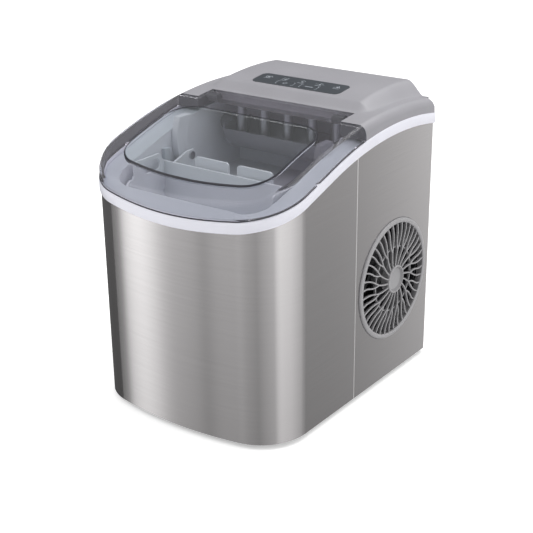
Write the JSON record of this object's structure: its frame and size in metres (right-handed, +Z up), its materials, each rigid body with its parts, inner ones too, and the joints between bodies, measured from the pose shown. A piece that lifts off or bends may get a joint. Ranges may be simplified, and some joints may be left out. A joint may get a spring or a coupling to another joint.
{
  "type": "ice maker",
  "caption": "Countertop ice maker: brushed steel body with a bowed front, white trim band, see-through lid over an ice basket, control hump and round side fan grilles.",
  "frame": {"origin": "on the surface under the feet, below the middle of the body", "axes": "+X towards the right side with the fan grille, seen from the front; +Y towards the back; +Z up"},
  "size_m": [0.2334, 0.283, 0.2934],
  "materials": {
    "steel": "brushed, satin",
    "white_trim": "gloss",
    "grey_cover": "satin",
    "grille_grey": "satin",
    "overlay": "satin film",
    "circuit_board": "matte",
    "lamps": "gloss",
    "lid_smoke": "gloss, see-through",
    "lid_clear": "gloss, see-through",
    "tub_plastic": "satin",
    "foam": "matte",
    "black_plastic": "matte",
    "rubber": "matte",
    "bright_metal": "polished",
    "sheet_metal": "satin",
    "motor_metal": "satin",
    "compressor_black": "gloss",
    "copper": "bare copper",
    "hose": "matte"
  },
  "bodies": {
    "cabinet": {"base_pan": "black_plastic", "rubber_feet": "rubber", "front_wrap": "steel", "right_panel": "steel", "left_panel": "steel", "rear_panel": "steel", "trim_band": "white_trim", "top_cover": "grey_cover", "control_overlay": "overlay", "control_board": "circuit_board", "status_lamps": "lamps", "hinge_pins": "bright_metal", "inner_tub": "tub_plastic", "tub_insulation": "foam", "guide_cheeks": "tub_plastic", "rake_pins": "bright_metal", "ice_sensors": "black_plastic", "evaporator": "bright_metal", "evaporator_bracket": "sheet_metal", "tray_bushes": "tub_plastic", "tray_motor": "black_plastic", "fill_spout": "tub_plastic", "right_grille": "grille_grey", "left_grille": "grille_grey", "fan_motor": "motor_metal", "fan_shroud": "black_plastic", "compressor": "compressor_black", "compressor_mounts": "rubber", "condenser": "sheet_metal", "filter_drier": "copper", "hot_gas_valve": "motor_metal", "discharge_line": "copper", "suction_line": "copper", "water_pump": "black_plastic", "pump_hose": "hose", "drain_hose": "hose", "drain_socket": "tub_plastic", "electrics_box": "black_plastic", "main_board": "circuit_board", "cord_gland": "black_plastic", "panel_screws": "bright_metal"},
    "lid": {"lid_frame": "lid_smoke", "lid_window": "lid_clear"},
    "basket": {"ice_basket": "tub_plastic"},
    "tray": {"water_tray": "tub_plastic", "tray_shaft": "bright_metal"},
    "rake": {"ice_rake": "tub_plastic"},
    "fan": {"fan_blade": "black_plastic"},
    "power_button": {"power_key": "overlay"},
    "select_button": {"select_key": "overlay"},
    "plug": {"drain_plug": "black_plastic"}
  },
  "joints": [
    {"name": "lid_hinge", "type": "hinge", "parent": "cabinet", "child": "lid", "pos_m": [0, 0.025, 0.27479], "axis": [-1, 0, 0], "range_deg": [0, 95]},
    {"name": "basket_lift", "type": "slide", "parent": "cabinet", "child": "basket", "axis": [0, 0, 1], "range_m": [0, 0.014]},
    {"name": "tray_tilt", "type": "hinge", "parent": "cabinet", "child": "tray", "pos_m": [0, 0.057, 0.241], "axis": [1, 0, 0], "range_deg": [0, 40]},
    {"name": "rake_swing", "type": "hinge", "parent": "cabinet", "child": "rake", "pos_m": [0, -0.015, 0.225], "axis": [-1, 0, 0], "range_deg": [0, 46]},
    {"name": "fan_spin", "type": "hinge", "parent": "cabinet", "child": "fan", "pos_m": [0.085, 0.0672, 0.1099], "axis": [1, 0, 0], "continuous": true},
    {"name": "power_press", "type": "slide", "parent": "cabinet", "child": "power_button", "axis": [0, 0, -1], "range_m": [0, 0.0005], "stiffness_N_per_m": 600, "springref_m": -0.0002},
    {"name": "select_press", "type": "slide", "parent": "cabinet", "child": "select_button", "axis": [0, 0, -1], "range_m": [0, 0.0005], "stiffness_N_per_m": 600, "springref_m": -0.0002},
    {"name": "drain_plug_pull", "type": "slide", "parent": "cabinet", "child": "plug", "axis": [0, 1, 0], "range_m": [0, 0.03]}
  ],
  "couplings": [
    {"joint": "rake_swing", "follows": "tray_tilt", "ratio": 1.125}
  ]
}
